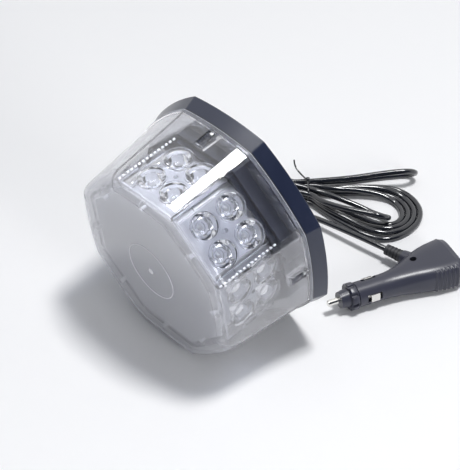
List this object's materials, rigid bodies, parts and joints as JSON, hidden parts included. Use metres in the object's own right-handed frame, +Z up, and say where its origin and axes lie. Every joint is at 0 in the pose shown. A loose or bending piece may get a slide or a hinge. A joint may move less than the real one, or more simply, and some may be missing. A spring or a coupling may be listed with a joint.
{
  "type": "led warning beacon",
  "caption": "Eight-sided magnetic LED warning beacon with clear dome over collimator lens panels, lying on its side, with a tied power cord and a 12 V accessory plug.",
  "frame": {"origin": "centre of the beacon's footprint on the surface it lies on, without the cord and plug", "axes": "+Z up; the dome's axis points along -Y and tips down by the lying angle; +X is to the right as seen along +Y"},
  "size_m": [0.2606, 0.3144, 0.1841],
  "materials": {
    "base_black": "satin black moulded plastic",
    "seal_rubber": "matte",
    "dome_clear": "clear moulded polycarbonate",
    "screw_steel": "zinc plated",
    "zinc_steel": "zinc plated",
    "ferrite": "matte ferrite",
    "pad_rubber": "matte",
    "chassis_black": "satin",
    "tower_white": "satin",
    "led_yellow": "phosphor under a clear dome",
    "gland_rubber": "satin",
    "terminal_grey": "matte",
    "board_green": "solder mask",
    "chip_black": "matte",
    "can_aluminium": "satin",
    "cord_black": "glossy vinyl",
    "tie_black": "satin",
    "plug_black": "fine satin",
    "rocker_black": "gloss",
    "button_grey": "satin",
    "contact_nickel": "nickel plated",
    "brass": "plain",
    "spring_steel": "plain",
    "fuse_glass": "glass tube with metal ends",
    "lens_clear": "clear moulded acrylic",
    "board_white": "white solder mask"
  },
  "bodies": {
    "beacon": {"base_housing": "base_black", "seal_ring": "seal_rubber", "dome_cover": "dome_clear", "dome_screws": "screw_steel", "chassis": "chassis_black", "small_screws": "screw_steel", "led_tower": "tower_white", "tower_lid": "tower_white", "leds": "led_yellow", "cord_gland": "gland_rubber", "terminal_block": "terminal_grey", "inner_lead": "cord_black", "magnet_cup": "zinc_steel", "ring_magnet": "ferrite", "magnet_pad": "pad_rubber", "magnet_bolt": "zinc_steel", "magnet_nut": "zinc_steel", "driver_board": "board_green", "power_transistors": "chip_black", "driver_capacitors": "can_aluminium", "flash_controller": "chip_black", "lens_plate_1": "lens_clear", "led_board_1": "board_white", "lens_plate_2": "lens_clear", "led_board_2": "board_white", "lens_plate_3": "lens_clear", "led_board_3": "board_white", "lens_plate_4": "lens_clear", "led_board_4": "board_white", "lens_plate_5": "lens_clear", "led_board_5": "board_white", "lens_plate_6": "lens_clear", "led_board_6": "board_white", "lens_plate_7": "lens_clear", "led_board_7": "board_white", "lens_plate_8": "lens_clear", "led_board_8": "board_white", "plug_upper_shell": "plug_black", "plug_lower_shell": "plug_black", "fuse_spring": "spring_steel", "fuse_seat": "brass", "plug_screw": "screw_steel", "plug_board": "board_green", "branch_sleeve": "gland_rubber", "rear_cap": "plug_black", "rocker_bezel": "plug_black", "rocker_pin": "zinc_steel", "mode_switch": "terminal_grey", "cord_tail": "cord_black", "cord_lead": "cord_black", "cord_hank": "cord_black", "twist_tie": "tie_black"},
    "tip_pin": {"tip_pin": "contact_nickel", "fuse": "fuse_glass"},
    "nose_cap": {"nose_cap": "plug_black"},
    "side_contact_right": {"side_contact_right": "contact_nickel"},
    "side_contact_top": {"side_contact_top": "contact_nickel"},
    "rocker": {"rocker": "rocker_black"},
    "mode_button": {"mode_button": "button_grey"}
  },
  "joints": [
    {"name": "tip_pin_press", "type": "slide", "parent": "beacon", "child": "tip_pin", "axis": [0.3173, 0.9483, 0], "range_m": [0, 0.003], "stiffness_N_per_m": 800, "springref_m": -0.004, "deforming": ["fuse_spring"]},
    {"name": "nose_cap_turn", "type": "hinge", "parent": "beacon", "child": "nose_cap", "pos_m": [0.07195, 0.0921, 0.01205], "axis": [0.3173, 0.9483, 0], "range_deg": [-900, 0]},
    {"name": "side_contact_right_press", "type": "slide", "parent": "beacon", "child": "side_contact_right", "axis": [-0.9431, 0.3156, -0.1045], "range_m": [0, 0.0008], "stiffness_N_per_m": 600, "springref_m": -0.002},
    {"name": "side_contact_top_press", "type": "slide", "parent": "beacon", "child": "side_contact_top", "axis": [0.5439, -0.182, -0.8192], "range_m": [0, 0.0008], "stiffness_N_per_m": 600, "springref_m": -0.002},
    {"name": "power_rocker_tilt", "type": "hinge", "parent": "beacon", "child": "rocker", "pos_m": [0.091, 0.18685, 0.01205], "axis": [0, 0, 1], "range_deg": [0, 16]},
    {"name": "mode_button_press", "type": "slide", "parent": "beacon", "child": "mode_button", "axis": [-0.3173, -0.9483, 0], "range_m": [0, 0.0012], "stiffness_N_per_m": 500, "springref_m": -0.001}
  ]
}
